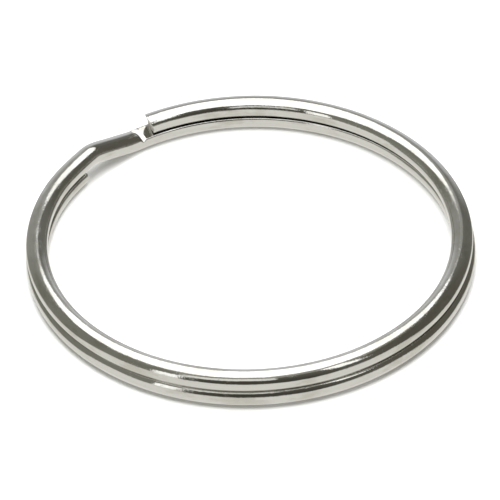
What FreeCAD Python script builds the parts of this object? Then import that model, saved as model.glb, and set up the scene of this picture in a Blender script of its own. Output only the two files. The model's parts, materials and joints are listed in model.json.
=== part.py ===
import FreeCAD, Part
import math
import os

import Sketcher
from FreeCAD import Placement, Rotation, Vector

# A split key ring: one springy wire coiled into almost two turns that lie flat on each other. A short
# pressed step, the crank, takes the wire from the upper turn down to the lower one. The wire is modelled
# in short stretches, because a turn opens by the wire twisting a little all along its length.
# Millimetres. The ring lies on z = 0, its axis is Z, and its upper turn is centred on that axis.
# Azimuths are in degrees, anticlockwise from +X as seen from above.

doc = FreeCAD.newDocument("split_key_ring")

# ---- driving dimensions

dimensions = [
    ("outer_diameter", 32.0),   # over the upper turn
    ("wire_diameter", 1.58),    # of the round wire, before it is pressed flat where the turns meet
    ("flat_depth", 0.27),       # how much of the wire is pressed away on each mating side
    ("turn_gap", 0.03),         # clearance between the two turns when the ring is closed
    ("lower_growth", 0.12),     # how much larger the lower turn's mean radius is
    ("lower_shift_x", 0.07),    # how far the lower turn sits off the upper one's axis
    ("lower_shift_y", -0.02),
    ("crank_azimuth", 131.5),   # the middle of the crank
    ("crank_length", 5.6),      # along the wire, bends and all
    ("crank_high_bend", 0.40),  # share of that length in the bend that leaves the upper turn
    ("crank_low_bend", 0.30),   # share of it in the bend that joins the lower turn
    ("crank_inset", 0.12),      # how far the press pushes the middle of the crank inwards
    ("upper_tip_space", 0.80),  # from the crank's low end to the upper turn's cut end
    ("lower_tip_space", 0.27),  # from the crank's high end to the lower turn's cut end
    ("tip_chamfer", 0.10),      # broken edge round each cut end
    ("cut_gap", 0.02),          # clearance between stretches that move against each other
]
stretch_count = 10              # stretches in each turn, its tip among them
crank_sections = 17             # sections that the crank is lofted through
full_turn = 360.0

sheet = doc.addObject("Spreadsheet::Sheet", "dims")
for row, (alias, value) in enumerate(dimensions, start=1):
    sheet.set(f"A{row}", alias)
    sheet.set(f"B{row}", str(value))
    sheet.setAlias(f"B{row}", alias)
doc.recompute()

# ---- what follows from them, as expressions on the sheet

wire_radius = "(dims.wire_diameter / 2)"
flat_height = f"({wire_radius} - dims.flat_depth)"      # from the wire's centre to its flat
lower_centre_z = wire_radius
upper_centre_z = f"({wire_radius} + 2 * {flat_height} + dims.turn_gap)"
upper_mean_radius = f"(dims.outer_diameter / 2 - {wire_radius})"
lower_mean_radius = f"({upper_mean_radius} + dims.lower_growth)"
degrees_per_mm = f"(180 / pi / {upper_mean_radius})"
crank_high = f"(dims.crank_azimuth + dims.crank_length / 2 * {degrees_per_mm})"
crank_low = f"(dims.crank_azimuth - dims.crank_length / 2 * {degrees_per_mm})"
upper_tip_azimuth = f"({crank_low} - dims.upper_tip_space * {degrees_per_mm})"
lower_tip_azimuth = f"({crank_high} + dims.lower_tip_space * {degrees_per_mm})"
upper_span = f"(({upper_tip_azimuth} + {full_turn} - {crank_high}) / {stretch_count})"
lower_span = f"(({crank_low} + {full_turn} - {lower_tip_azimuth}) / {stretch_count})"


def size(expression):
    """The value of an expression on the sheet, such as a cell's own name after dims."""
    return float(sheet.evalExpression(expression))


def sketch_section(body, mean_radius, centre_z, flat_below):
    """The wire's section on the body's XZ plane: round, with one flat where the turns meet."""
    sketch = body.newObject("Sketcher::SketchObject", body.Name + "_section")
    plane = next(f for f in body.Origin.OriginFeatures if f.Role == "XZ_Plane")
    sketch.AttachmentSupport = (plane, [""])
    sketch.MapMode = "FlatFace"

    radius = size(wire_radius)
    height = size(flat_height)
    half_width = math.sqrt(radius**2 - height**2)
    side = -1 if flat_below else 1
    middle = Vector(size(mean_radius), size(centre_z), 0)
    left = middle + Vector(-half_width, side * height, 0)
    right = middle + Vector(half_width, side * height, 0)
    # the arc runs anticlockwise round the side that has no flat, from one corner to the other
    first, last = (right, left) if flat_below else (left, right)
    far_side = middle - Vector(0, side * radius, 0)
    arc = sketch.addGeometry(Part.Arc(first, far_side, last))
    flat = sketch.addGeometry(Part.LineSegment(last, first))

    axes, start, end, centre = -1, 1, 2, 3
    sketch.addConstraint(Sketcher.Constraint("Coincident", arc, end, flat, start))
    sketch.addConstraint(Sketcher.Constraint("Coincident", flat, end, arc, start))
    sketch.addConstraint(Sketcher.Constraint("Horizontal", flat))
    lower, upper = ((flat, start), (arc, centre)) if flat_below else ((arc, centre), (flat, start))
    sizes = [
        ("wire_radius", wire_radius, ("Radius", arc, radius)),
        ("mean_radius", mean_radius, ("DistanceX", axes, start, arc, centre, middle.x)),
        ("centre_z", centre_z, ("DistanceY", axes, start, arc, centre, middle.y)),
        ("flat_height", flat_height, ("DistanceY", *lower, *upper, height)),
    ]
    for name, expression, constraint in sizes:
        index = sketch.addConstraint(Sketcher.Constraint(*constraint))
        sketch.renameConstraint(index, name)
        sketch.setExpression(f"Constraints.{name}", expression)
    return sketch


def end_face(shape, azimuth):
    """The name of the flat cut face that stands at this azimuth about the Z axis."""
    across = Vector(-math.sin(math.radians(azimuth)), math.cos(math.radians(azimuth)), 0)
    for index, face in enumerate(shape.Faces, start=1):
        is_flat = face.Surface.TypeId == "Part::GeomPlane"
        if is_flat and abs(face.CenterOfMass.dot(across)) < 1e-3 and abs(face.normalAt(0, 0).z) < 1e-3:
            return f"Face{index}"
    raise RuntimeError(f"no cut face at {azimuth} degrees")


def wire_stretch(name, turn, start, span, clear_start, clear_end, free_end=None):
    """One stretch of a turn, as a body: the wire's section turned about Z from azimuth start.

    clear_start and clear_end say which ends stand back by half the cut gap, and free_end says which
    end is the cut end of the wire: "start", "end" or None.
    """
    is_upper = turn == "upper"
    mean_radius = upper_mean_radius if is_upper else lower_mean_radius
    centre_z = upper_centre_z if is_upper else lower_centre_z
    body = doc.addObject("PartDesign::Body", name)
    body.Label = name
    sketch = sketch_section(body, mean_radius, centre_z, flat_below=is_upper)

    half_gap = f"(dims.cut_gap / 2 / {mean_radius} * 180 / pi)"
    swept = body.newObject("PartDesign::Revolution", name + "_sweep")
    swept.Profile = sketch
    swept.ReferenceAxis = (sketch, ["V_Axis"])
    swept.setExpression("Angle", f"{span} - {int(clear_start) + int(clear_end)} * {half_gap}")

    body.Placement = Placement(Vector(), Rotation(Vector(0, 0, 1), 1))
    body.setExpression("Placement.Rotation.Angle", f"{start} + {int(clear_start)} * {half_gap}")
    if not is_upper:
        body.setExpression("Placement.Base.x", "dims.lower_shift_x")
        body.setExpression("Placement.Base.y", "dims.lower_shift_y")
    doc.recompute()

    if free_end:
        azimuth = 0 if free_end == "start" else float(swept.Angle)
        chamfer = body.newObject("PartDesign::Chamfer", name + "_broken_edge")
        chamfer.Base = (swept, [end_face(swept.Shape, azimuth)])
        chamfer.setExpression("Size", "dims.tip_chamfer")
        body.Tip = chamfer
    return body


def eased(share, first_bend, last_bend):
    """A step from 0 to 1: a straight slope between two bends that each take their share of it."""
    slope = 2 / (2 - first_bend - last_bend)
    if share < first_bend:
        return slope * share**2 / (2 * first_bend)
    if share > 1 - last_bend:
        return 1 - slope * (1 - share) ** 2 / (2 * last_bend)
    return slope * (share - first_bend / 2)


def crank_centre(share):
    """A point of the crank's centre line, from 0 at the upper turn to 1 at the lower."""
    step = eased(share, size("dims.crank_high_bend"), size("dims.crank_low_bend"))
    azimuth = math.radians(size(f"{crank_high} + {share} * ({crank_low} - {crank_high})"))
    inset = size("dims.crank_inset") * math.sin(math.pi * share) ** 2
    radius = size(upper_mean_radius) + step * size("dims.lower_growth") - inset
    return Vector(
        step * size("dims.lower_shift_x") + radius * math.cos(azimuth),
        step * size("dims.lower_shift_y") + radius * math.sin(azimuth),
        size(upper_centre_z) + step * (size(lower_centre_z) - size(upper_centre_z)),
    )


def crank_section(share):
    """The wire's section across the crank. Its flat below fades out and its flat above fades in."""
    nearby = 1e-4
    before = crank_centre(max(share - nearby, 0))
    after = crank_centre(min(share + nearby, 1))
    along = (after - before).normalize()
    outwards = Vector(0, 0, 1).cross(along).normalize() * -1
    upwards = outwards.cross(along)
    if upwards.z < 0:
        upwards = upwards * -1

    radius = size(wire_radius)
    least_flat = size("dims.flat_depth") / 100      # what is left of a flat where it has faded out
    fading = size("dims.flat_depth") - least_flat
    even_bends = (0.5, 0.5)
    below = least_flat + fading * (1 - eased(min(share / size("dims.crank_high_bend"), 1), *even_bends))
    above = least_flat + fading * (1 - eased(min((1 - share) / size("dims.crank_low_bend"), 1), *even_bends))
    centre = crank_centre(share)

    def corner(side_out, side_up, depth):
        height = radius - depth
        half_width = math.sqrt(radius**2 - height**2)
        return centre + outwards * (side_out * half_width) + upwards * (side_up * height)

    outer_top, inner_top = corner(1, 1, above), corner(-1, 1, above)
    outer_bottom, inner_bottom = corner(1, -1, below), corner(-1, -1, below)
    return Part.Wire([
        Part.Arc(outer_bottom, centre + outwards * radius, outer_top).toShape(),
        Part.LineSegment(outer_top, inner_top).toShape(),
        Part.Arc(inner_top, centre - outwards * radius, inner_bottom).toShape(),
        Part.LineSegment(inner_bottom, outer_bottom).toShape(),
    ])


def make_crank(name):
    """The pressed step, lofted, because its flats swap sides on the way down."""
    shares = [index / (crank_sections - 1) for index in range(crank_sections)]
    crank = doc.addObject("Part::Feature", name)
    crank.Label = name
    crank.Shape = Part.makeLoft([crank_section(share) for share in shares], True, False)
    crank.Placement = Placement()
    return crank


def make_turn(turn):
    """All stretches of a turn, from the crank round to the cut end."""
    stretches = []
    for index in range(stretch_count):
        is_first = index == 0
        is_tip = index == stretch_count - 1
        name = f"{turn}_tip" if is_tip else f"{turn}_turn_{index + 1}"
        if turn == "upper":
            # runs anticlockwise from the crank
            start = f"({crank_high} + {index} * {upper_span})"
            stretch = wire_stretch(
                name, turn, start, upper_span,
                clear_start=not is_first, clear_end=not is_tip, free_end="end" if is_tip else None,
            )
        else:
            # runs clockwise from the crank
            start = f"({crank_low} - {index + 1} * {lower_span} + {full_turn})"
            stretch = wire_stretch(
                name, turn, start, lower_span,
                clear_start=not is_tip, clear_end=not is_first, free_end="start" if is_tip else None,
            )
        stretches.append(stretch)
    return stretches


parts = [make_crank("crank_step")] + make_turn("upper") + make_turn("lower")
doc.recompute()

# ---- check and export

for item in doc.Objects:
    if "Invalid" in item.State or "Error" in item.State:
        raise RuntimeError(f"{item.Name} failed: {item.State}")
for part in parts:
    if part.Shape.isNull() or not part.Shape.isValid() or len(part.Shape.Solids) != 1:
        raise RuntimeError(f"{part.Label} is not one valid solid")

os.makedirs("parts", exist_ok=True)
for part in parts:
    part.Shape.exportStep(f"parts/{part.Label}.step")
    box = part.Shape.BoundBox
    print(f"{part.Label:14s} {part.Shape.Volume:8.3f} mm3  z {box.ZMin:6.3f} to {box.ZMax:6.3f}")
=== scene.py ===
import json
import math

import bpy
from mathutils import Matrix, Vector


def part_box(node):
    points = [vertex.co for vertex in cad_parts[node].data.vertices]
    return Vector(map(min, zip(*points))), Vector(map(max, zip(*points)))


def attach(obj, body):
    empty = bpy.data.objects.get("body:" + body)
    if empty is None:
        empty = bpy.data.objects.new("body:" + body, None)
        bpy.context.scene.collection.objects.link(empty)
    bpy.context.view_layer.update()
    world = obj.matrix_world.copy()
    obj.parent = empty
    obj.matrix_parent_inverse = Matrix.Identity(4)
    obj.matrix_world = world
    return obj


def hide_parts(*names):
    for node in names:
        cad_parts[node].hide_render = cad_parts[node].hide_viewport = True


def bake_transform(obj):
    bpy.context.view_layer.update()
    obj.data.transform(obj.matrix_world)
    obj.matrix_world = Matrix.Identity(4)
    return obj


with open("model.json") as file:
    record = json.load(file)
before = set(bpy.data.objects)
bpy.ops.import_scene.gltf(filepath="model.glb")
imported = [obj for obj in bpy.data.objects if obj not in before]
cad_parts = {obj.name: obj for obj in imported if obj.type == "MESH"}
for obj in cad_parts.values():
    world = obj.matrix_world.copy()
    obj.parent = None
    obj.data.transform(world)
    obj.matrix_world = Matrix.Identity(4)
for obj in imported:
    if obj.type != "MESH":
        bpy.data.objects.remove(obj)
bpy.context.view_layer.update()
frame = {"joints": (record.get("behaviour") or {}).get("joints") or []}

mm = 0.001


# sizes that the frame gives

# a turn's hinges sit on its centre line and point along it, so two of them give the whole circle
def readTurn(turn, turning):
    hinges = [j for j in frame["joints"] if j["name"].startswith(turn)]
    spots = [Vector(j["pos_m"]) for j in hinges]
    outwards = [Vector((j["axis"][1], -j["axis"][0], 0)) * turning for j in hinges]
    radius = (spots[1] - spots[0]).length / (outwards[1] - outwards[0]).length
    azimuths = [math.atan2(o.y, o.x) for o in outwards]
    span = (azimuths[1] - azimuths[0]) % (turning * math.tau)
    return {
        "hinges": hinges,
        "radius": radius,
        "centre": spots[0] - outwards[0] * radius,
        "span": span,
        "crankEnd": azimuths[0] - span,
        "tip": azimuths[0] + span * len(hinges),
    }


upper = readTurn("upper", 1)
lower = readTurn("lower", -1)
flatLow, roundTop = (corner.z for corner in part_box("upper_turn_5"))
wireRadius = roundTop - upper["centre"].z
flatHeight = upper["centre"].z - flatLow
print(f"wire {wireRadius * 2 / mm:.2f} mm, upper turn {upper['radius'] / mm:.2f} mm, "
      f"crank {math.degrees(upper['crankEnd']):.1f} to {math.degrees(lower['crankEnd']):.1f} degrees, "
      f"tips {math.degrees(upper['tip']):.1f} and {math.degrees(lower['tip']):.1f}")


# short ways to build node trees

# a socket is linked in, and anything else becomes the input's own value
def feed(tree, node, inputs):
    for key, value in inputs.items():
        if isinstance(value, bpy.types.NodeSocket):
            tree.links.new(value, node.inputs[key])
        else:
            node.inputs[key].default_value = value


def put(tree, kind, inputs=None, **settings):
    node = tree.nodes.new(kind)
    for name, value in settings.items():
        setattr(node, name, value)
    feed(tree, node, inputs or {})
    return node


def calc(tree, operation, *values, clamp=False):
    inputs = dict(enumerate(values))
    return put(tree, "ShaderNodeMath", inputs, operation=operation, use_clamp=clamp).outputs[0]


def vecCalc(tree, operation, *values):
    keys = (0, "Scale") if operation == "SCALE" else (0, 1)
    node = put(tree, "ShaderNodeVectorMath", dict(zip(keys, values)), operation=operation)
    return node.outputs["Value" if operation == "DOT_PRODUCT" else "Vector"]


def combine(tree, x, y, z):
    return put(tree, "ShaderNodeCombineXYZ", {0: x, 1: y, 2: z}).outputs[0]


def mapRange(tree, value, fromLow, fromHigh, toLow=0.0, toHigh=1.0, shape="LINEAR"):
    inputs = {"Value": value, "From Min": fromLow, "From Max": fromHigh, "To Min": toLow, "To Max": toHigh}
    return put(tree, "ShaderNodeMapRange", inputs, interpolation_type=shape).outputs["Result"]


def fade(tree, value, fromLow, fromHigh, toLow=0.0, toHigh=1.0):
    return mapRange(tree, value, fromLow, fromHigh, toLow, toHigh, "SMOOTHSTEP")


def mixed(tree, factor, first, second):
    inputs = {"Factor": factor, 6: first, 7: second}      # 6 and 7 are the mix's two colour sockets
    return put(tree, "ShaderNodeMix", inputs, data_type="RGBA").outputs[2]


def newTree(name, kind, inputs, outputs):
    tree = bpy.data.node_groups.new(name, kind)
    for direction, sockets in (("INPUT", inputs), ("OUTPUT", outputs)):
        for label, (socketKind, default) in sockets.items():
            socketType = "NodeSocket" + socketKind
            socket = tree.interface.new_socket(label, in_out=direction, socket_type=socketType)
            if default is not None:
                socket.default_value = default
    arrive = tree.nodes.new("NodeGroupInput")
    leave = tree.nodes.new("NodeGroupOutput")
    return tree, arrive.outputs, leave.inputs


def useGroup(tree, group, inputs):
    kind = "GeometryNodeGroup" if tree.type == "GEOMETRY" else "ShaderNodeGroup"
    node = tree.nodes.new(kind)
    node.node_tree = group
    feed(tree, node, inputs)
    return node.outputs


# camera, floor and light

view = {
    "distance": 248.1 * mm,
    "elevation": 40.14,       # degrees above the floor
    "roll": -1.70,            # degrees
    "lens": 249.6,            # both in millimetres
    "sensor": 36,
    "clip": (0.01, 10),
    "aimRight": 0.05 * mm,    # the aim sits this far off the ring's centre, across and up the frame
    "aimUp": -0.945 * mm,
}


def makeCamera():
    tilt, roll = math.radians(view["elevation"]), math.radians(view["roll"])
    back = Vector((0, -math.cos(tilt), math.sin(tilt)))
    level, upright = Vector((1, 0, 0)), Vector((0, math.sin(tilt), math.cos(tilt)))
    right = level * math.cos(roll) + upright * math.sin(roll)
    up = upright * math.cos(roll) - level * math.sin(roll)
    place = upper["centre"] + back * view["distance"]
    aim = upper["centre"] + right * view["aimRight"] + up * view["aimUp"]
    back = (place - aim).normalized()
    right = up.cross(back).normalized()
    up = back.cross(right)
    data = bpy.data.cameras.new("tableCamera")
    data.lens = view["lens"]
    data.sensor_width = view["sensor"]
    data.clip_start, data.clip_end = view["clip"]
    camera = bpy.data.objects.new("tableCamera", data)
    camera.matrix_world = Matrix.Translation(place) @ Matrix((right, up, back)).transposed().to_4x4()
    bpy.context.scene.collection.objects.link(camera)
    bpy.context.scene.camera = camera


studio = {
    "floorHalf": 0.45,
    "floorSquares": 8,
    "floorColour": (0.86, 0.86, 0.86, 1),
    "floorRoughness": 0.9,
    # overhead: a round soft sheet close above the ring
    "overheadCentre": (-5 * mm, 10 * mm, 47 * mm),
    "overheadRadius": 41 * mm,
    "overheadBrightness": 1.62,
    # front: a dimmer sheet that the camera looks through from its unlit side
    "frontCentre": (-10 * mm, -46 * mm, 34.5 * mm),
    "frontSize": (36 * mm, 21 * mm),
    "frontBrightness": 0.85,
    # two upright strips further off, by their bearing and height in degrees as seen from the ring
    "strips": (
        {"name": "leftStrip", "bearing": -141, "low": 1, "high": 28, "wide": 12, "brightness": 1.35},
        {"name": "rightStrip", "bearing": 132, "low": 30, "high": 57, "wide": 16, "brightness": 1.5},
    ),
    "stripDistance": 0.32,
    # a light straight above that only reaches the paper
    "fillHeight": 0.5,
    "fillSize": (0.38, 0.38),
    "fillBrightness": 6.5,
    # what surrounds them
    "groundColour": (0.95, 0.94, 0.89, 1),
    "rightColour": (0.135, 0.130, 0.108, 1),
    "leftColour": (0.25, 0.25, 0.215, 1),
    "farRightColour": (0.19, 0.19, 0.17, 1),
    "farLeftColour": (0.36, 0.36, 0.335, 1),
    "farMiddleColour": (0.42, 0.42, 0.40, 1),
    "backColour": (0.78, 0.79, 0.81, 1),
    "frontColour": (0.075, 0.072, 0.058, 1),
    "ceilingColour": (0.45, 0.445, 0.40, 1),
    # where one colour fades into the next, along the unit direction to the right, away or up
    "leftToRight": (-0.55, 0.35),
    "sidesToFront": (-0.6, -0.95),
    "farLeftToMiddle": (-0.32, -0.08),
    "farMiddleToRight": (0.04, 0.22),
    "sidesToFar": (0.45, 0.75),
    "farToBack": (0.80, 0.97),
    "groundToBand": (-0.03, 0.09),
    "bandToCeiling": (0.72, 0.90),
    # the band's lower edge, which drops and then drops again on the way back: from, to, levels
    "edgeDrop": (-0.45, 0.10, -0.04, -0.36),
    "edgeSecondDrop": (0.30, 0.90, 0, 0.14),
}


def softSheet(name, centre, facing, size, brightness, shape="RECTANGLE"):
    data = bpy.data.lights.new(name, "AREA")
    data.shape = shape
    area = size[0] * size[1]
    data.size = size[0]
    if shape == "RECTANGLE":
        data.size_y = size[1]
    else:
        area *= math.pi / 4
    data.energy = brightness * math.pi * area
    light = bpy.data.objects.new(name, data)
    light.rotation_mode = "QUATERNION"
    light.rotation_quaternion = Vector(facing).to_track_quat("-Z", "Y")
    light.location = centre
    bpy.context.scene.collection.objects.link(light)
    return light


def makeFloor():
    half, steps = studio["floorHalf"], studio["floorSquares"]
    row = steps + 1
    verts = [(half * (2 * i / steps - 1), half * (2 * j / steps - 1), 0)
             for j in range(row) for i in range(row)]
    faces = [(j * row + i, j * row + i + 1, (j + 1) * row + i + 1, (j + 1) * row + i)
             for j in range(steps) for i in range(steps)]
    mesh = bpy.data.meshes.new("paleFloor")
    mesh.from_pydata(verts, [], faces)
    floor = bpy.data.objects.new("paleFloor", mesh)
    bpy.context.scene.collection.objects.link(floor)
    paper = bpy.data.materials.new("palePaper")
    paper.use_nodes = True
    shader = paper.node_tree.nodes["Principled BSDF"]
    shader.inputs["Base Color"].default_value = studio["floorColour"]
    shader.inputs["Roughness"].default_value = studio["floorRoughness"]
    shader.inputs["Specular IOR Level"].default_value = 0.0
    mesh.materials.append(paper)
    floor.visible_glossy = False      # the metal mirrors the surroundings below, not the paper


# soft light and dark all round: ground, a dark band above the horizon, and a paler ceiling
def makeSurroundings():
    world = bpy.data.worlds.new("studioSurroundings")
    bpy.context.scene.world = world
    world.use_nodes = True
    tree = world.node_tree
    direction = put(tree, "ShaderNodeTexCoord").outputs["Generated"]
    right, away, height = put(tree, "ShaderNodeSeparateXYZ", {0: direction}).outputs

    def fadeInto(first, second, along, edge):
        return mixed(tree, fade(tree, along, *studio[edge]), first, second)

    sides = fadeInto(studio["leftColour"], studio["rightColour"], right, "leftToRight")
    front = fadeInto(sides, studio["frontColour"], away, "sidesToFront")
    far = fadeInto(studio["farLeftColour"], studio["farMiddleColour"], right, "farLeftToMiddle")
    far = fadeInto(far, studio["farRightColour"], right, "farMiddleToRight")
    around = fadeInto(front, far, away, "sidesToFar")
    band = fadeInto(around, studio["backColour"], away, "farToBack")
    # behind the ring the dark comes down below the horizon
    edge = fade(tree, away, *studio["edgeDrop"])
    edge = calc(tree, "SUBTRACT", edge, fade(tree, away, *studio["edgeSecondDrop"]))
    overEdge = calc(tree, "SUBTRACT", height, edge)
    bandOverGround = fadeInto(studio["groundColour"], band, overEdge, "groundToBand")
    whole = fadeInto(bandOverGround, studio["ceilingColour"], height, "bandToCeiling")
    tree.links.new(whole, tree.nodes["Background"].inputs["Color"])


def makeStudio():
    makeFloor()
    makeSurroundings()
    across = 2 * studio["overheadRadius"]
    down = (0, 0, -1)
    softSheet("overheadSheet", studio["overheadCentre"], down, (across, across),
              studio["overheadBrightness"], "DISK")
    softSheet("frontSheet", studio["frontCentre"], (0, 1, 0), studio["frontSize"],
              studio["frontBrightness"])
    for strip in studio["strips"]:
        far = studio["stripDistance"]
        bearing = math.radians(strip["bearing"])
        low, high = (math.tan(math.radians(strip[end])) * far for end in ("low", "high"))
        level = Vector((math.sin(bearing), math.cos(bearing), 0))
        centre = level * far + Vector((0, 0, (low + high) / 2))
        width = 2 * far * math.tan(math.radians(strip["wide"] / 2))
        softSheet(strip["name"], centre, -level, (width, high - low), strip["brightness"])
    fill = softSheet("paperFill", (0, 0, studio["fillHeight"]), down, studio["fillSize"],
                     studio["fillBrightness"])
    fill.visible_glossy = False
    bpy.context.scene.view_settings.view_transform = "Standard"


makeCamera()
makeStudio()
print("camera and studio ready")


# the wire: one rule from the upper cut end to the lower one

wire = {
    "sides": 96,
    "rings": 120,
    "crankRings": 480,
    "tipRings": 192,
    "cornerRounding": 0.09 * mm,
    "bendDelay": 0.30 * mm,       # the bends are pressed in this much nearer the lower end
    "highBend": 0.22,             # shares of the crank in its two bends
    "lowBend": 0.30,
    "crankInset": 0.12 * mm,
    "shoulderInset": 0.05 * mm,
    "shoulderDegrees": (-3, 5, 17),      # from the crank's high end: start, deepest and end
    "flatFadesOut": (0.0, 0.40),         # where the upper flat leaves the crank, as shares of it
    "flatFadesIn": (0.81, 0.88),         # and where the lower flat starts
    "dishShares": (0.865, 0.94, 1.07),   # the press mark in it: near edge, deepest, far edge
    "dishDepth": 0.07 * mm,
    "dishSlope": 0.34,                   # its floor tips towards the middle of the ring
    "probe": 1e-3,                # how far round, in radians, the path is felt for its direction
    # both ends are pinched off: how steeply the face leans upwards and outwards, and its rim
    "upperCut": {"Slant Up": 0.42, "Slant Out": -0.10, "Rim Rounding": 0.05 * mm},
    "lowerCut": {"Slant Up": -0.22, "Slant Out": 0.10, "Rim Rounding": 0.20 * mm},
    "rimRounding": 0.07 * mm,
    "endShare": 0.28,             # share of an end piece's rings that cross its cut face
    "faceCloses": 0.97,           # how far those rings shrink towards the middle of the face
    "cutMaterialFrom": 0.02,      # share of the way in at which the cut's material takes over
    "leanReach": 1.6 * mm,        # the lean dies away this far along the wire
    "leanAbove": -0.1 * mm,       # only the part of the section above here leans
    "leanSoftness": 0.3 * mm,
}


# one bend's part of the crank's drop: the running integral of a smooth step
def buildRampTree():
    tree, arrive, leave = newTree("bendRamp", "GeometryNodeTree",
                                  {"Share": ("Float", 0.0), "Bend": ("Float", 0.3)},
                                  {"Ramp": ("Float", None)})
    share, bend = arrive["Share"], arrive["Bend"]
    inBend = calc(tree, "DIVIDE", share, bend, clamp=True)
    cubed = calc(tree, "POWER", inBend, 3.0)
    halfFourth = calc(tree, "MULTIPLY", cubed, calc(tree, "MULTIPLY", inBend, 0.5))
    curved = calc(tree, "MULTIPLY", calc(tree, "SUBTRACT", cubed, halfFourth), bend)
    straight = calc(tree, "MAXIMUM", calc(tree, "SUBTRACT", share, bend), 0.0)
    tree.links.new(calc(tree, "ADD", curved, straight), leave["Ramp"])
    return tree


rampTree = buildRampTree()

pathInputs = {
    "Upper Radius": ("Float", upper["radius"]),
    "Growth": ("Float", lower["radius"] - upper["radius"]),
    "Shift": ("Vector", tuple(lower["centre"] - upper["centre"])),
    "Upper Centre": ("Vector", tuple(upper["centre"])),
    "Crank High": ("Float", upper["crankEnd"] - wire["bendDelay"] / upper["radius"]),
    "Crank Low": ("Float", lower["crankEnd"]),
    "High Bend": ("Float", wire["highBend"]),
    "Low Bend": ("Float", wire["lowBend"]),
    "Crank Inset": ("Float", wire["crankInset"]),
    "Shoulder Inset": ("Float", wire["shoulderInset"]),
}


def buildPathTree():
    tree, arrive, leave = newTree("wirePath", "GeometryNodeTree",
                                  {"Azimuth": ("Float", 0.0), **pathInputs},
                                  {"Point": ("Vector", None), "Share": ("Float", None)})
    azimuth = arrive["Azimuth"]
    share = mapRange(tree, azimuth, arrive["Crank High"], arrive["Crank Low"])
    first = useGroup(tree, rampTree, {"Share": share, "Bend": arrive["High Bend"]})["Ramp"]
    lateShare = calc(tree, "ADD", calc(tree, "SUBTRACT", share, 1.0), arrive["Low Bend"])
    last = useGroup(tree, rampTree, {"Share": lateShare, "Bend": arrive["Low Bend"]})["Ramp"]
    bends = calc(tree, "ADD", arrive["High Bend"], arrive["Low Bend"])
    slope = calc(tree, "DIVIDE", 2.0, calc(tree, "SUBTRACT", 2.0, bends))
    step = calc(tree, "MULTIPLY", calc(tree, "SUBTRACT", first, last), slope)

    wave = calc(tree, "SINE", calc(tree, "MULTIPLY", share, math.pi))
    inset = calc(tree, "MULTIPLY", calc(tree, "MULTIPLY", wave, wave), arrive["Crank Inset"])
    # the press also leaves the wire a little flatter outside the bend
    fromCrank = calc(tree, "SUBTRACT", azimuth, arrive["Crank High"])
    begins, deepest, ends = (math.radians(degrees) for degrees in wire["shoulderDegrees"])
    rise = fade(tree, fromCrank, begins, deepest)
    fall = fade(tree, fromCrank, deepest, ends, 1.0, 0.0)
    shoulder = calc(tree, "MULTIPLY", calc(tree, "MULTIPLY", rise, fall), arrive["Shoulder Inset"])

    radius = calc(tree, "ADD", arrive["Upper Radius"], calc(tree, "MULTIPLY", step, arrive["Growth"]))
    radius = calc(tree, "SUBTRACT", calc(tree, "SUBTRACT", radius, inset), shoulder)
    around = combine(tree, calc(tree, "COSINE", azimuth), calc(tree, "SINE", azimuth), 0.0)
    centre = vecCalc(tree, "ADD", arrive["Upper Centre"], vecCalc(tree, "SCALE", arrive["Shift"], step))
    tree.links.new(vecCalc(tree, "ADD", centre, vecCalc(tree, "SCALE", around, radius)), leave["Point"])
    tree.links.new(share, leave["Share"])
    return tree


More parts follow.
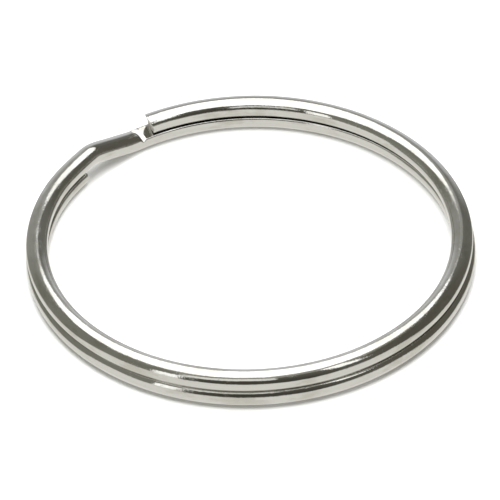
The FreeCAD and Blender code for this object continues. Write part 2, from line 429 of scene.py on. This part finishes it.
def buildWireTree():
    inputs = {
        "Geometry": ("Geometry", None),
        "From": ("Float", 0.0),
        "To": ("Float", 1.0),
        "Rings": ("Int", wire["rings"]),
        "Sides": ("Int", wire["sides"]),
        "Wire Radius": ("Float", wireRadius),
        "Flat Height": ("Float", flatHeight),
        "Corner Rounding": ("Float", wire["cornerRounding"]),
        "End Share": ("Float", 0.0),
        "Rim Rounding": ("Float", wire["rimRounding"]),
        "Slant Up": ("Float", 0.0),
        "Slant Out": ("Float", 0.0),
        "Wire Material": ("Material", None),
        "Cut Material": ("Material", None),
        **pathInputs,
    }
    tree, arrive, leave = newTree("splitRingWire", "GeometryNodeTree", inputs,
                                  {"Geometry": ("Geometry", None)})
    tree.is_modifier = True

    # a straight tube remembers how far along and around each point is, then takes its place on the path
    line = put(tree, "GeometryNodeCurvePrimitiveLine", {"End": (1, 0, 0)})
    rings = put(tree, "GeometryNodeResampleCurve", {"Curve": line.outputs["Curve"], "Count": arrive["Rings"]})
    loop = put(tree, "GeometryNodeCurvePrimitiveCircle", {"Resolution": arrive["Sides"], "Radius": 0.1})
    parameter = put(tree, "GeometryNodeSplineParameter").outputs["Factor"]

    def captured(geometry):
        node = tree.nodes.new("GeometryNodeCaptureAttribute")
        node.capture_items.new("FLOAT", "Factor")
        tree.links.new(geometry, node.inputs["Geometry"])
        tree.links.new(parameter, node.inputs["Factor"])
        return node.outputs["Geometry"], node.outputs["Factor"]

    alongCurve, along = captured(rings.outputs["Curve"])
    aroundCurve, around = captured(loop.outputs["Curve"])
    tube = put(tree, "GeometryNodeCurveToMesh",
               {"Curve": alongCurve, "Profile Curve": aroundCurve, "Fill Caps": True})

    # on a cut end the last rings cross the cut face, and those before them crowd towards its rim
    lengthShare = calc(tree, "SUBTRACT", 1.0, arrive["End Share"])
    run = calc(tree, "DIVIDE", along, lengthShare, clamp=True)
    inward = mapRange(tree, along, lengthShare, 1.0)
    isCut = calc(tree, "GREATER_THAN", arrive["End Share"], 0.001)
    crowding = calc(tree, "ADD", 1.0, isCut)
    remaining = calc(tree, "POWER", calc(tree, "SUBTRACT", 1.0, run), crowding)
    whole = calc(tree, "SUBTRACT", arrive["To"], arrive["From"])
    azimuth = calc(tree, "SUBTRACT", arrive["To"], calc(tree, "MULTIPLY", remaining, whole))

    pathTree = buildPathTree()
    dims = {name: arrive[name] for name in pathInputs}
    nudge = calc(tree, "MULTIPLY", calc(tree, "SIGN", whole), wire["probe"])
    here = useGroup(tree, pathTree, {"Azimuth": azimuth, **dims})
    further = calc(tree, "ADD", azimuth, nudge)
    nearer = calc(tree, "SUBTRACT", azimuth, nudge)
    ahead = useGroup(tree, pathTree, {"Azimuth": further, **dims})["Point"]
    behind = useGroup(tree, pathTree, {"Azimuth": nearer, **dims})["Point"]
    forward = vecCalc(tree, "NORMALIZE", vecCalc(tree, "SUBTRACT", ahead, behind))
    point, share = here["Point"], here["Share"]
    # outwards is level, whichever way the piece runs
    side = vecCalc(tree, "NORMALIZE", vecCalc(tree, "CROSS_PRODUCT", (0, 0, 1), forward))
    radial = combine(tree, calc(tree, "COSINE", azimuth), calc(tree, "SINE", azimuth), 0.0)
    facing = calc(tree, "SIGN", vecCalc(tree, "DOT_PRODUCT", side, radial))
    outwards = vecCalc(tree, "SCALE", side, facing)
    upwards = vecCalc(tree, "SCALE", vecCalc(tree, "CROSS_PRODUCT", forward, outwards), facing)

    # the section: round, with a soft-cornered flat wherever the turns bear on each other
    radius = arrive["Wire Radius"]
    angle = calc(tree, "MULTIPLY", around, math.tau)
    out = calc(tree, "MULTIPLY", calc(tree, "COSINE", angle), radius)
    soft = arrive["Corner Rounding"]
    noFlat = calc(tree, "ADD", radius, soft)
    flatGain = calc(tree, "SUBTRACT", noFlat, arrive["Flat Height"])
    fadeOut = fade(tree, share, *wire["flatFadesOut"], 1.0, 0.0)
    fadeIn = fade(tree, share, *wire["flatFadesIn"])
    below = calc(tree, "SUBTRACT", noFlat, calc(tree, "MULTIPLY", flatGain, fadeOut))
    above = calc(tree, "SUBTRACT", noFlat, calc(tree, "MULTIPLY", flatGain, fadeIn))
    dishNear, dishDeep, dishFar = wire["dishShares"]
    dish = calc(tree, "MULTIPLY", fade(tree, share, dishNear, dishDeep),
                fade(tree, share, dishDeep, dishFar, 1.0, 0.0))
    dishDrop = calc(tree, "MULTIPLY_ADD", out, -wire["dishSlope"], wire["dishDepth"])
    above = calc(tree, "SUBTRACT", above, calc(tree, "MULTIPLY", dish, dishDrop))
    high = calc(tree, "MULTIPLY", calc(tree, "SINE", angle), radius)
    high = calc(tree, "SMOOTH_MIN", high, above, soft)
    high = calc(tree, "SMOOTH_MAX", high, calc(tree, "MULTIPLY", below, -1.0), soft)

    # the rim of a cut end is rounded, and the face may lean
    angleLeft = calc(tree, "SUBTRACT", arrive["To"], azimuth)
    fromEnd = calc(tree, "ABSOLUTE", calc(tree, "MULTIPLY", angleLeft, arrive["Upper Radius"]))
    rim = arrive["Rim Rounding"]
    reach = calc(tree, "MAXIMUM", calc(tree, "SUBTRACT", rim, fromEnd), 0.0)
    sagged = calc(tree, "SQRT", calc(tree, "SUBTRACT", calc(tree, "MULTIPLY", rim, rim),
                                     calc(tree, "MULTIPLY", reach, reach)))
    shrink = calc(tree, "MULTIPLY", calc(tree, "SUBTRACT", rim, sagged), isCut)
    scale = calc(tree, "SUBTRACT", 1.0, calc(tree, "DIVIDE", shrink, radius))
    closing = calc(tree, "SUBTRACT", 1.0, calc(tree, "MULTIPLY", inward, wire["faceCloses"]))
    scale = calc(tree, "MULTIPLY", scale, closing)
    out = calc(tree, "MULTIPLY", out, scale)
    high = calc(tree, "MULTIPLY", high, scale)
    nearEnd = calc(tree, "MULTIPLY", fade(tree, fromEnd, 0.0, wire["leanReach"], 1.0, 0.0), isCut)
    upperHalf = calc(tree, "SMOOTH_MAX", high, wire["leanAbove"], wire["leanSoftness"])
    lean = calc(tree, "ADD", calc(tree, "MULTIPLY", out, arrive["Slant Out"]),
                calc(tree, "MULTIPLY", upperHalf, arrive["Slant Up"]))
    lean = calc(tree, "MULTIPLY", lean, nearEnd)

    place = vecCalc(tree, "ADD", point, vecCalc(tree, "SCALE", outwards, out))
    place = vecCalc(tree, "ADD", place, vecCalc(tree, "SCALE", upwards, high))
    place = vecCalc(tree, "ADD", place, vecCalc(tree, "SCALE", forward, lean))
    moved = put(tree, "GeometryNodeSetPosition", {"Geometry": tube.outputs["Mesh"], "Position": place})

    # the same point on the wire drawn out straight, for patterns that follow it
    straightPoint = combine(tree, calc(tree, "MULTIPLY", azimuth, arrive["Upper Radius"]), out, high)
    stored = put(tree, "GeometryNodeStoreNamedAttribute",
                 {"Geometry": moved.outputs["Geometry"], "Name": "straightWire", "Value": straightPoint},
                 data_type="FLOAT_VECTOR", domain="POINT")
    flipped = put(tree, "GeometryNodeFlipFaces",
                  {"Mesh": stored.outputs["Geometry"], "Selection": calc(tree, "GREATER_THAN", whole, 0.0)})
    realized = put(tree, "GeometryNodeRealizeInstances", {"Geometry": flipped.outputs["Mesh"]})
    plated = put(tree, "GeometryNodeSetMaterial",
                 {"Geometry": realized.outputs["Geometry"], "Material": arrive["Wire Material"]})
    onCut = calc(tree, "GREATER_THAN", inward, wire["cutMaterialFrom"])
    sheared = put(tree, "GeometryNodeSetMaterial",
                  {"Geometry": plated.outputs["Geometry"], "Selection": onCut,
                   "Material": arrive["Cut Material"]})
    tree.links.new(sheared.outputs["Geometry"], leave["Geometry"])
    return tree


# materials

# wear, on the wire drawn out straight: scales are per millimetre, heights in metres
# a patch says where its wear shows: from, to, least, most
wearLook = {
    "lines": (0.12, 9.0, 9.0),
    "linePatches": (0.35, 0.9, 0.9),
    "linePatch": (0.42, 0.60, 0.15, 1.0),
    "lineHeight": 1.6e-6,
    # each set of scratches: degrees across the wire, place in the noise, scale along a scratch
    "scratches": ((28, 11.0, 0.55), (-41, 37.0, 0.8), (67, 5.0, 0.4)),
    "scratchTilt": 0.3,
    "scratchFineness": 16.0,
    "scratchWidth": 0.012,
    "scratchPatches": (0.9, 0.9, 0.9),
    "scratchPatch": (0.56, 0.66),
    "scratchDepth": 1.1e-6,
    "pitCells": 3.2,
    "pitSizes": (0.78, 1.0, 0.0, 0.20),      # only the rarer cells hold a pit
    "pitEdge": 5.0,
    "pitDepth": 4.5e-6,
    "grain": 7.5,
    "grainPatches": (0.22, 0.5, 0.5),
    "grainPatch": (0.35, 0.62, 0.25, 1.0),
    "grainHeight": 6e-6,
    "waves": (0.40, 0.8, 0.8),
    "waveHeight": 26e-6,
    "smudges": (0.28, 0.75, 0.75),
    "smudgeRoughness": 0.62,
    "smudge": (0.44, 0.66),
}
plated = {
    "colour": (0.665, 0.662, 0.640, 1),
    "stain": (0.47, 0.455, 0.405, 1),
    "roughness": (0.055, 0.20),      # clean, and where it is most handled
    "stained": {"Smudge": 0.60, "Pit": 0.5, "Streak": 0.35},
    "dulled": {"Smudge": 0.40, "Scratch": 0.7},
    "wear": {"Drawing Lines": 0.5, "Scratches": 1.0, "Pits": 1.0, "Grain": 1.0, "Waviness": 1.0},
}
sheared = {
    "colour": (0.66, 0.65, 0.62, 1),
    "torn": (0.40, 0.385, 0.355, 1),
    "roughness": (0.20, 0.48),       # burnished by the blade, and torn
    "tearLine": (-0.05 * mm, -0.20 * mm),
    "tearRaggedness": 0.5 * mm,
    "raggedScale": (2.0, 4.0, 1.0),
    "bladeLines": (1.0, 22.0, 1.2),
    "lineDepth": 3e-6,
    "grit": 9.0,
    "tornDepth": 12e-6,
    "tornColour": {"tear": 0.6, "grit": 0.3},
    "tornRoughness": {"tear": 0.8, "lines": 0.2},
    "wear": {"Drawing Lines": 0.0, "Scratches": 0.6, "Pits": 2.0, "Grain": 3.0, "Waviness": 0.0},
}


def noise(tree, vector, scale, detail=2.0, **more):
    inputs = {"Vector": vector, "Scale": scale, "Detail": detail, **more}
    return put(tree, "ShaderNodeTexNoise", inputs).outputs["Fac"]


def stretched(tree, vector, scale, turn=(0, 0, 0), shift=(0, 0, 0)):
    inputs = {"Vector": vector, "Location": shift, "Rotation": turn, "Scale": scale}
    return put(tree, "ShaderNodeMapping", inputs).outputs[0]


def patches(tree, spot, scale, shift=(0, 0, 0)):
    return noise(tree, stretched(tree, spot, scale, shift=shift), 1.0)


# takes the wire drawn out straight in metres, and gives heights in metres too
def buildWearTree():
    look = wearLook
    amounts = ("Drawing Lines", "Scratches", "Pits", "Grain", "Waviness")
    results = ("Smudge", "Scratch", "Pit", "Streak", "Height")
    tree, arrive, leave = newTree(
        "wireWear", "ShaderNodeTree",
        {"Straight Wire": ("Vector", (0, 0, 0)), **{name: ("Float", 1.0) for name in amounts}},
        {name: ("Float", None) for name in results})
    spot = vecCalc(tree, "SCALE", arrive["Straight Wire"], 1 / mm)

    # drawn lines run the length of the wire and fade in and out
    streak = noise(tree, stretched(tree, spot, look["lines"]), 1.0, 3.0)
    streakHere = mapRange(tree, patches(tree, spot, look["linePatches"]), *look["linePatch"])
    lines = calc(tree, "MULTIPLY", calc(tree, "SUBTRACT", streak, 0.5), streakHere)

    # hair-fine scratches from keys, in three directions
    scratch = 0.0
    for degrees, place, length in look["scratches"]:
        turn = (look["scratchTilt"], math.radians(degrees), math.radians(degrees))
        scale = (length, look["scratchFineness"], look["scratchFineness"])
        lie = stretched(tree, spot, scale, turn, (place, place, 0))
        offMiddle = calc(tree, "SUBTRACT", noise(tree, lie, 1.0, 1.0), 0.5)
        hair = mapRange(tree, calc(tree, "ABSOLUTE", offMiddle), 0.0, look["scratchWidth"], 1.0, 0.0)
        where = patches(tree, spot, look["scratchPatches"], (place, 0, 0))
        few = mapRange(tree, where, *look["scratchPatch"])
        scratch = calc(tree, "MAXIMUM", scratch, calc(tree, "MULTIPLY", hair, few))

    # pits a few hundredths across where the plating covers a flaw
    cells = put(tree, "ShaderNodeTexVoronoi", {"Vector": spot, "Scale": look["pitCells"]})
    size = put(tree, "ShaderNodeSeparateColor", {0: cells.outputs["Color"]}).outputs[0]
    reach = mapRange(tree, size, *look["pitSizes"])
    pit = calc(tree, "SUBTRACT", reach, cells.outputs["Distance"], clamp=True)
    pit = calc(tree, "MULTIPLY", pit, look["pitEdge"], clamp=True)

    grain = noise(tree, spot, look["grain"], 3.0)
    grainHere = mapRange(tree, patches(tree, spot, look["grainPatches"], (3, 1, 0)), *look["grainPatch"])
    grains = calc(tree, "MULTIPLY", calc(tree, "SUBTRACT", grain, 0.5), grainHere)
    waves = noise(tree, stretched(tree, spot, look["waves"]), 1.0, 1.0)
    handled = noise(tree, stretched(tree, spot, look["smudges"], shift=(9, 2, 4)), 1.0, 4.0,
                    Roughness=look["smudgeRoughness"])
    smudge = fade(tree, handled, *look["smudge"])

    height = calc(tree, "MULTIPLY", calc(tree, "MULTIPLY", lines, arrive["Drawing Lines"]),
                  look["lineHeight"])
    for mark, amount, depth in ((grains, "Grain", look["grainHeight"]),
                                (waves, "Waviness", look["waveHeight"]),
                                (scratch, "Scratches", -look["scratchDepth"]),
                                (pit, "Pits", -look["pitDepth"])):
        height = calc(tree, "MULTIPLY_ADD", calc(tree, "MULTIPLY", mark, arrive[amount]), depth, height)
    for name, value in zip(results, (smudge, scratch, pit, streak, height)):
        tree.links.new(value, leave[name])
    return tree


wearTree = buildWearTree()


def startMetal(name, wear):
    material = bpy.data.materials.new(name)
    material.use_nodes = True
    tree = material.node_tree
    shader = tree.nodes["Principled BSDF"]
    shader.inputs["Metallic"].default_value = 1.0
    straight = put(tree, "ShaderNodeAttribute", attribute_name="straightWire").outputs["Vector"]
    return material, tree, shader, straight, useGroup(tree, wearTree, {"Straight Wire": straight, **wear})


def bumped(tree, shader, height):
    bump = put(tree, "ShaderNodeBump", {"Height": height, "Strength": 1.0, "Distance": 1.0})
    tree.links.new(bump.outputs["Normal"], shader.inputs["Normal"])


# bright nickel over steel wire: smudged where it is handled, duller in the scratches and pits
def platedMaterial():
    material, tree, shader, _, wear = startMetal("brightNickelPlate", plated["wear"])
    stained, dulled = plated["stained"], plated["dulled"]
    dull = calc(tree, "MULTIPLY", wear["Smudge"], stained["Smudge"])
    dull = calc(tree, "MULTIPLY_ADD", wear["Pit"], stained["Pit"], dull, clamp=True)
    colour = mixed(tree, dull, plated["colour"], plated["stain"])
    streaks = calc(tree, "MULTIPLY", wear["Streak"], stained["Streak"])
    tree.links.new(mixed(tree, streaks, colour, plated["stain"]), shader.inputs["Base Color"])
    rough = calc(tree, "MULTIPLY", wear["Smudge"], dulled["Smudge"])
    rough = calc(tree, "MULTIPLY_ADD", wear["Scratch"], dulled["Scratch"], rough, clamp=True)
    roughness = mapRange(tree, rough, 0.0, 1.0, *plated["roughness"])
    tree.links.new(roughness, shader.inputs["Roughness"])
    bumped(tree, shader, wear["Height"])
    return material


# the cut face: lines drawn by the blade down to the tear, then torn metal
def shearedMaterial():
    material, tree, shader, straight, wear = startMetal("shearedWireEnd", sheared["wear"])
    spot = vecCalc(tree, "SCALE", straight, 1 / mm)
    across = put(tree, "ShaderNodeSeparateXYZ", {0: straight}).outputs[2]
    ragged = calc(tree, "SUBTRACT", noise(tree, stretched(tree, spot, sheared["raggedScale"]), 1.0, 3.0), 0.5)
    level = calc(tree, "MULTIPLY_ADD", ragged, sheared["tearRaggedness"], across)
    tear = fade(tree, level, *sheared["tearLine"])
    bladeLines = noise(tree, stretched(tree, spot, sheared["bladeLines"]), 1.0, 2.0)
    grit = noise(tree, spot, sheared["grit"], 5.0)
    colourShares, roughShares = sheared["tornColour"], sheared["tornRoughness"]
    dark = calc(tree, "MULTIPLY", tear, colourShares["tear"])
    dark = calc(tree, "MULTIPLY_ADD", grit, colourShares["grit"], dark, clamp=True)
    tree.links.new(mixed(tree, dark, sheared["colour"], sheared["torn"]), shader.inputs["Base Color"])
    rough = calc(tree, "MULTIPLY", tear, roughShares["tear"])
    rough = calc(tree, "MULTIPLY_ADD", bladeLines, roughShares["lines"], rough)
    roughness = mapRange(tree, rough, 0.0, 1.0, *sheared["roughness"])
    tree.links.new(roughness, shader.inputs["Roughness"])
    smooth = calc(tree, "MULTIPLY", bladeLines, sheared["lineDepth"])
    torn = calc(tree, "MULTIPLY", grit, sheared["tornDepth"])
    height = calc(tree, "MULTIPLY_ADD", torn, tear, smooth)
    bumped(tree, shader, calc(tree, "ADD", height, wear["Height"]))
    return material


platedWire = platedMaterial()
cutSteel = shearedMaterial()
print("materials ready")


# pieces

wireTree = buildWireTree()
socketNames = {item.name: item.identifier for item in wireTree.interface.items_tree
               if item.item_type == "SOCKET" and item.in_out == "INPUT"}


def makePiece(name, start, end, **extra):
    holder = bpy.data.objects.new(name + "_rule", bpy.data.meshes.new(name + "_rule"))
    bpy.context.scene.collection.objects.link(holder)
    modifier = holder.modifiers.new("splitRingWire", "NODES")
    modifier.node_group = wireTree
    values = {"From": start, "To": end, "Wire Material": platedWire, "Cut Material": cutSteel, **extra}
    for label, value in values.items():
        modifier[socketNames[label]] = value
    holder.update_tag()
    depsgraph = bpy.context.evaluated_depsgraph_get()
    mesh = bpy.data.meshes.new_from_object(holder.evaluated_get(depsgraph))
    mesh.name = name
    bpy.data.objects.remove(holder)
    piece = bpy.data.objects.new(name, mesh)
    bpy.context.scene.collection.objects.link(piece)
    return piece


def halfway(turn):
    return turn["crankEnd"] + turn["span"] / 2


crank = makePiece("crank_and_first_wire", halfway(upper), halfway(lower), Rings=wire["crankRings"])
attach(crank, "crank")
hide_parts("crank_step", "upper_turn_1", "lower_turn_1")

for label, turn in (("upper", upper), ("lower", lower)):
    half = turn["span"] / 2
    for index, hinge in enumerate(turn["hinges"], start=1):
        middle = turn["crankEnd"] + index * turn["span"]
        start, end = middle - half, middle + half
        name, node = f"{label}_wire_{index}", f"{label}_turn_{index + 1}"
        reaches, extra = end, {}
        if hinge is turn["hinges"][-1]:
            name, node = f"{label}_wire_tip", f"{label}_tip"
            reaches = turn["tip"]
            extra = {"End Share": wire["endShare"], "Rings": wire["tipRings"], **wire[label + "Cut"]}
        piece = makePiece(name, start, reaches, **extra)
        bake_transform(piece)
        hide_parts(node)
